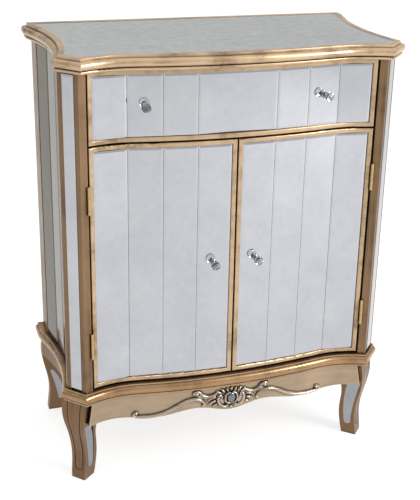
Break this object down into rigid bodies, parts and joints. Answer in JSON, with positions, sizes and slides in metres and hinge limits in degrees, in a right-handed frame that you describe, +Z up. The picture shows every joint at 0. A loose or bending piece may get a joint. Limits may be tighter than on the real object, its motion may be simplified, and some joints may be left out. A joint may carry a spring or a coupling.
{
  "type": "mirrored cabinet",
  "caption": "Low free-standing cabinet with a serpentine mirrored front, a drawer above a pair of hinged doors, canted corners and cabriole legs.",
  "frame": {"origin": "on the floor, under the middle of the cabinet's bounding box", "axes": "+X to the right of someone facing the doors, +Y to the back, +Z up"},
  "size_m": [0.714, 0.3718, 0.9],
  "materials": {
    "gilt_wood": "champagne gold leaf paint, satin",
    "gilt_metal": "antique silver gilt, dark in the hollows",
    "mirror": "silvered glass",
    "aged_mirror": "antiqued silvered glass",
    "wood_inside": "stained board",
    "steel": "plain",
    "brass": "satin",
    "chrome": "polished",
    "crystal": "clear, faceted",
    "black_plastic": "plain"
  },
  "bodies": {
    "carcass": {"apron_back": "wood_inside", "apron_front": "gilt_wood", "apron_left": "gilt_wood", "apron_right": "gilt_wood", "back_panel": "wood_inside", "base_moulding": "gilt_wood", "cabinet_floor": "wood_inside", "corner_blocks": "wood_inside", "door_catches": "black_plastic", "drawer_runners": "wood_inside", "dust_board": "wood_inside", "hinge_leaves_fixed": "brass", "hinge_pins": "brass", "hinge_screws_fixed": "brass", "leg_back_left": "gilt_wood", "leg_back_right": "gilt_wood", "leg_front_left": "gilt_wood", "leg_front_right": "gilt_wood", "leg_mirrors": "mirror", "ornament": "gilt_metal", "ornament_cabochon": "gilt_metal", "post_front_left": "gilt_wood", "post_front_right": "gilt_wood", "post_mirrors": "mirror", "shelf": "wood_inside", "shelf_pins": "steel", "side_mirrors_left": "aged_mirror", "side_mirrors_right": "aged_mirror", "side_panel_left": "wood_inside", "side_panel_right": "wood_inside", "stile_rear_left": "gilt_wood", "stile_rear_right": "gilt_wood", "top_board": "gilt_wood", "top_mirror": "aged_mirror"},
    "door_left": {"door_left_frame": "gilt_wood", "door_left_hinge_leaves": "brass", "door_left_knob": "crystal", "door_left_knob_base": "chrome", "door_left_mirrors": "mirror", "door_left_panel": "wood_inside", "door_left_screws": "steel", "door_left_strike_plate": "steel"},
    "door_right": {"door_right_frame": "gilt_wood", "door_right_hinge_leaves": "brass", "door_right_knob": "crystal", "door_right_knob_base": "chrome", "door_right_mirrors": "mirror", "door_right_panel": "wood_inside", "door_right_screws": "steel", "door_right_strike_plate": "steel"},
    "drawer": {"drawer_back": "wood_inside", "drawer_bottom": "wood_inside", "drawer_frame": "gilt_wood", "drawer_front_board": "wood_inside", "drawer_knob_bases": "chrome", "drawer_knob_screws": "steel", "drawer_knobs": "crystal", "drawer_mirrors": "mirror", "drawer_side_left": "wood_inside", "drawer_side_right": "wood_inside"}
  },
  "joints": [
    {"name": "drawer_slide", "type": "slide", "parent": "carcass", "child": "drawer", "axis": [0, -1, 0], "range_m": [0, 0.25]},
    {"name": "door_right_hinge", "type": "hinge", "parent": "carcass", "child": "door_right", "pos_m": [0.29025, -0.1547, 0.475], "axis": [0, 0, 1], "range_deg": [0, 110]},
    {"name": "door_left_hinge", "type": "hinge", "parent": "carcass", "child": "door_left", "pos_m": [-0.29025, -0.1547, 0.475], "axis": [0, 0, -1], "range_deg": [0, 110]}
  ]
}
